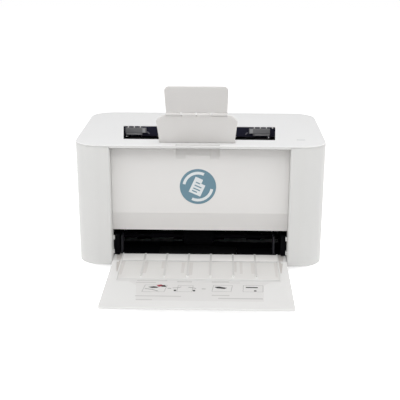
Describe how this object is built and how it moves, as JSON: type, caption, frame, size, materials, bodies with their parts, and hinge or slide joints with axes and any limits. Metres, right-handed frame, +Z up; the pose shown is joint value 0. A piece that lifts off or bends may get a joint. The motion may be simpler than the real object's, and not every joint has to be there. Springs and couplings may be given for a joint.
{
  "type": "compact laser printer",
  "caption": "Compact white desktop laser printer with an open front paper tray, front and rear doors, a top output window and a raised folding sheet support.",
  "frame": {"origin": "centre of the whole part's footprint, tray open, on the table", "axes": "+X to the right seen from the front, +Y to the back, +Z up"},
  "size_m": [0.337, 0.3766, 0.26],
  "materials": {
    "white_shell": "fine matt",
    "white_side": "fine matt",
    "white_top": "fine matt",
    "white_door": "fine matt",
    "white_tray": "satin",
    "foot_rubber": "matt",
    "badge_face": "gloss",
    "support_grey": "satin",
    "bright_steel": "bright",
    "black_guide": "satin",
    "dark_grey": "satin",
    "gear_ivory": "satin",
    "zinc_sheet": "zinc plated",
    "roller_rubber": "matt",
    "foam_grey": "matt",
    "cartridge_black": "fine matt",
    "drum_coat": "gloss coat",
    "roller_coat": "satin",
    "pressure_red": "satin",
    "holder_grey": "satin",
    "frame_grey": "satin",
    "motor_steel": "zinc plated",
    "mirror_face": "polished",
    "board_green": "solder mask",
    "socket_black": "satin",
    "button_grey": "satin",
    "screw_steel": "zinc plated"
  },
  "bodies": {
    "chassis": {"base_pan": "white_shell", "rubber_feet": "foot_rubber", "left_side_cover": "white_side", "right_side_cover": "white_side", "top_cover": "white_top", "feed_base": "black_guide", "separation_pad": "roller_rubber", "cartridge_housing": "cartridge_black", "fuser_frame": "cartridge_black", "pinch_holders": "holder_grey", "exit_guide": "black_guide", "left_frame": "frame_grey", "right_frame": "frame_grey", "gear_plate": "zinc_sheet", "drive_motor": "motor_steel", "scanner_deck": "zinc_sheet", "scanner_housing": "cartridge_black", "scanner_lid": "zinc_sheet", "main_board": "board_green", "usb_port": "bright_steel", "power_board": "board_green", "power_inlet": "socket_black", "power_switch": "socket_black", "control_board": "board_green", "cover_screws": "screw_steel", "deck_screws": "screw_steel", "lift_springs": "bright_steel"},
    "front_door": {"front_door": "white_door", "badge": "badge_face"},
    "rear_door": {"rear_door": "white_door"},
    "paper_tray": {"paper_tray": "white_tray"},
    "output_flap": {"output_flap": "support_grey", "fold_pin": "gear_ivory"},
    "output_extension": {"output_extension": "support_grey"},
    "left_guide": {"left_paper_guide": "dark_grey"},
    "right_guide": {"right_paper_guide": "dark_grey"},
    "guide_pinion": {"guide_pinion": "gear_ivory"},
    "lift_plate": {"lift_plate": "zinc_sheet"},
    "pickup": {"pickup_shaft": "dark_grey", "pickup_tyre": "roller_rubber"},
    "feed_roller": {"feed_roller": "roller_rubber"},
    "feed_pinch": {"feed_pinch": "gear_ivory"},
    "transfer_roller": {"transfer_roller": "foam_grey"},
    "drum": {"photo_drum": "drum_coat", "drum_gear": "gear_ivory"},
    "developer": {"developer_roller": "foam_grey"},
    "heat_roller": {"heat_roller": "roller_coat", "fuser_gear": "gear_ivory"},
    "pressure_roller": {"pressure_roller": "pressure_red"},
    "exit_roller": {"exit_roller": "roller_rubber"},
    "pinch_rollers": {"pinch_rollers": "gear_ivory"},
    "motor_pinion": {"motor_pinion": "bright_steel"},
    "drive_gear": {"drive_gear": "gear_ivory"},
    "fuser_idler": {"fuser_idler": "gear_ivory"},
    "feed_idler": {"feed_idler": "gear_ivory"},
    "pickup_idler": {"pickup_idler": "gear_ivory"},
    "exit_idler": {"exit_idler": "gear_ivory"},
    "polygon_mirror": {"polygon_mirror": "mirror_face"},
    "power_rocker": {"power_rocker": "socket_black"},
    "power_button": {"power_button": "button_grey"}
  },
  "joints": [
    {"name": "tray_hinge", "type": "hinge", "parent": "chassis", "child": "paper_tray", "pos_m": [0, -0.0291, 0.0114], "axis": [1, 0, 0], "range_deg": [-90, 0]},
    {"name": "front_door_hinge", "type": "hinge", "parent": "chassis", "child": "front_door", "pos_m": [0, -0.0047, 0.058], "axis": [1, 0, 0], "range_deg": [0, 85]},
    {"name": "rear_door_hinge", "type": "hinge", "parent": "chassis", "child": "rear_door", "pos_m": [0, 0.1835, 0.0286], "axis": [-1, 0, 0], "range_deg": [0, 70]},
    {"name": "flap_hinge", "type": "hinge", "parent": "chassis", "child": "output_flap", "pos_m": [0, -0.0067, 0.174], "axis": [1, 0, 0], "range_deg": [-120, 0]},
    {"name": "extension_hinge", "type": "hinge", "parent": "output_flap", "child": "output_extension", "pos_m": [0, -0.03873, 0.22017], "axis": [1, 0, 0], "range_deg": [0, 150]},
    {"name": "button_press", "type": "slide", "parent": "chassis", "child": "power_button", "axis": [0, 0, -1], "range_m": [0, 0.0008], "stiffness_N_per_m": 300, "springref_m": -0.0005},
    {"name": "rocker_hinge", "type": "hinge", "parent": "chassis", "child": "power_rocker", "pos_m": [0, 0.1833, 0.052], "axis": [1, 0, 0], "range_deg": [-16, 0]},
    {"name": "left_guide_slide", "type": "slide", "parent": "chassis", "child": "left_guide", "axis": [1, 0, 0], "range_m": [0, 0.031]},
    {"name": "right_guide_slide", "type": "slide", "parent": "chassis", "child": "right_guide", "axis": [-1, 0, 0], "range_m": [0, 0.031]},
    {"name": "guide_pinion_turn", "type": "hinge", "parent": "chassis", "child": "guide_pinion", "pos_m": [-0.0035, 0.0153, 0.0073], "axis": [0, 0, 1], "range_deg": [-1, 224]},
    {"name": "lift_plate_hinge", "type": "hinge", "parent": "chassis", "child": "lift_plate", "pos_m": [0, 0.0028, 0.0118], "axis": [1, 0, 0], "range_deg": [0, 6], "deforming": ["lift_springs"]},
    {"name": "drum_spin", "type": "hinge", "parent": "chassis", "child": "drum", "pos_m": [0, 0.0963, 0.0393], "axis": [1, 0, 0], "continuous": true},
    {"name": "transfer_spin", "type": "hinge", "parent": "chassis", "child": "transfer_roller", "pos_m": [0, 0.0963, 0.0193], "axis": [1, 0, 0], "continuous": true},
    {"name": "developer_spin", "type": "hinge", "parent": "chassis", "child": "developer", "pos_m": [0, 0.07722, 0.04624], "axis": [1, 0, 0], "continuous": true},
    {"name": "drive_gear_spin", "type": "hinge", "parent": "chassis", "child": "drive_gear", "pos_m": [0, 0.08969, 0.06959], "axis": [1, 0, 0], "continuous": true},
    {"name": "motor_spin", "type": "hinge", "parent": "chassis", "child": "motor_pinion", "pos_m": [0, 0.0743, 0.088], "axis": [1, 0, 0], "continuous": true},
    {"name": "exit_idler_spin", "type": "hinge", "parent": "chassis", "child": "exit_idler", "pos_m": [0, 0.07404, 0.124], "axis": [1, 0, 0], "continuous": true},
    {"name": "exit_roller_spin", "type": "hinge", "parent": "chassis", "child": "exit_roller", "pos_m": [0, 0.0963, 0.1548], "axis": [1, 0, 0], "continuous": true},
    {"name": "pinch_spin", "type": "hinge", "parent": "chassis", "child": "pinch_rollers", "pos_m": [0, 0.0963, 0.1661], "axis": [1, 0, 0], "continuous": true},
    {"name": "fuser_idler_spin", "type": "hinge", "parent": "chassis", "child": "fuser_idler", "pos_m": [0, 0.12158, 0.04879], "axis": [1, 0, 0], "continuous": true},
    {"name": "heat_roller_spin", "type": "hinge", "parent": "chassis", "child": "heat_roller", "pos_m": [0, 0.1463, 0.04075], "axis": [1, 0, 0], "continuous": true},
    {"name": "pressure_roller_spin", "type": "hinge", "parent": "chassis", "child": "pressure_roller", "pos_m": [0, 0.1463, 0.02045], "axis": [1, 0, 0], "continuous": true},
    {"name": "feed_idler_spin", "type": "hinge", "parent": "chassis", "child": "feed_idler", "pos_m": [0, 0.07463, 0.04312], "axis": [1, 0, 0], "continuous": true},
    {"name": "feed_roller_spin", "type": "hinge", "parent": "chassis", "child": "feed_roller", "pos_m": [0, 0.0663, 0.0283], "axis": [1, 0, 0], "continuous": true},
    {"name": "feed_pinch_spin", "type": "hinge", "parent": "chassis", "child": "feed_pinch", "pos_m": [0, 0.0663, 0.017], "axis": [1, 0, 0], "continuous": true},
    {"name": "pickup_idler_spin", "type": "hinge", "parent": "chassis", "child": "pickup_idler", "pos_m": [0, 0.05417, 0.03529], "axis": [1, 0, 0], "continuous": true},
    {"name": "pickup_spin", "type": "hinge", "parent": "chassis", "child": "pickup", "pos_m": [0, 0.0343, 0.0285], "axis": [1, 0, 0], "continuous": true},
    {"name": "mirror_spin", "type": "hinge", "parent": "chassis", "child": "polygon_mirror", "pos_m": [-0.0035, 0.0563, 0.1132], "axis": [0, 0, 1], "continuous": true}
  ],
  "couplings": [
    {"joint": "transfer_spin", "follows": "drum_spin", "ratio": -1.8571},
    {"joint": "developer_spin", "follows": "drum_spin", "ratio": -1.5},
    {"joint": "drive_gear_spin", "follows": "drum_spin", "ratio": -0.72222},
    {"joint": "motor_spin", "follows": "drum_spin", "ratio": 2.1667},
    {"joint": "exit_idler_spin", "follows": "drum_spin", "ratio": -0.43333},
    {"joint": "exit_roller_spin", "follows": "drum_spin", "ratio": 1.625},
    {"joint": "pinch_spin", "follows": "drum_spin", "ratio": -1.95},
    {"joint": "fuser_idler_spin", "follows": "drum_spin", "ratio": -0.92857},
    {"joint": "heat_roller_spin", "follows": "drum_spin", "ratio": 1.0833},
    {"joint": "pressure_roller_spin", "follows": "drum_spin", "ratio": -1.0833},
    {"joint": "feed_idler_spin", "follows": "drum_spin", "ratio": -1.4444},
    {"joint": "feed_roller_spin", "follows": "drum_spin", "ratio": 1.625},
    {"joint": "feed_pinch_spin", "follows": "drum_spin", "ratio": -1.95},
    {"joint": "pickup_idler_spin", "follows": "drum_spin", "ratio": -2.1667},
    {"joint": "pickup_spin", "follows": "drum_spin", "ratio": 0.86667},
    {"joint": "right_guide_slide", "follows": "left_guide_slide", "ratio": 1},
    {"joint": "guide_pinion_turn", "follows": "left_guide_slide", "rad_per_m": 125}
  ]
}
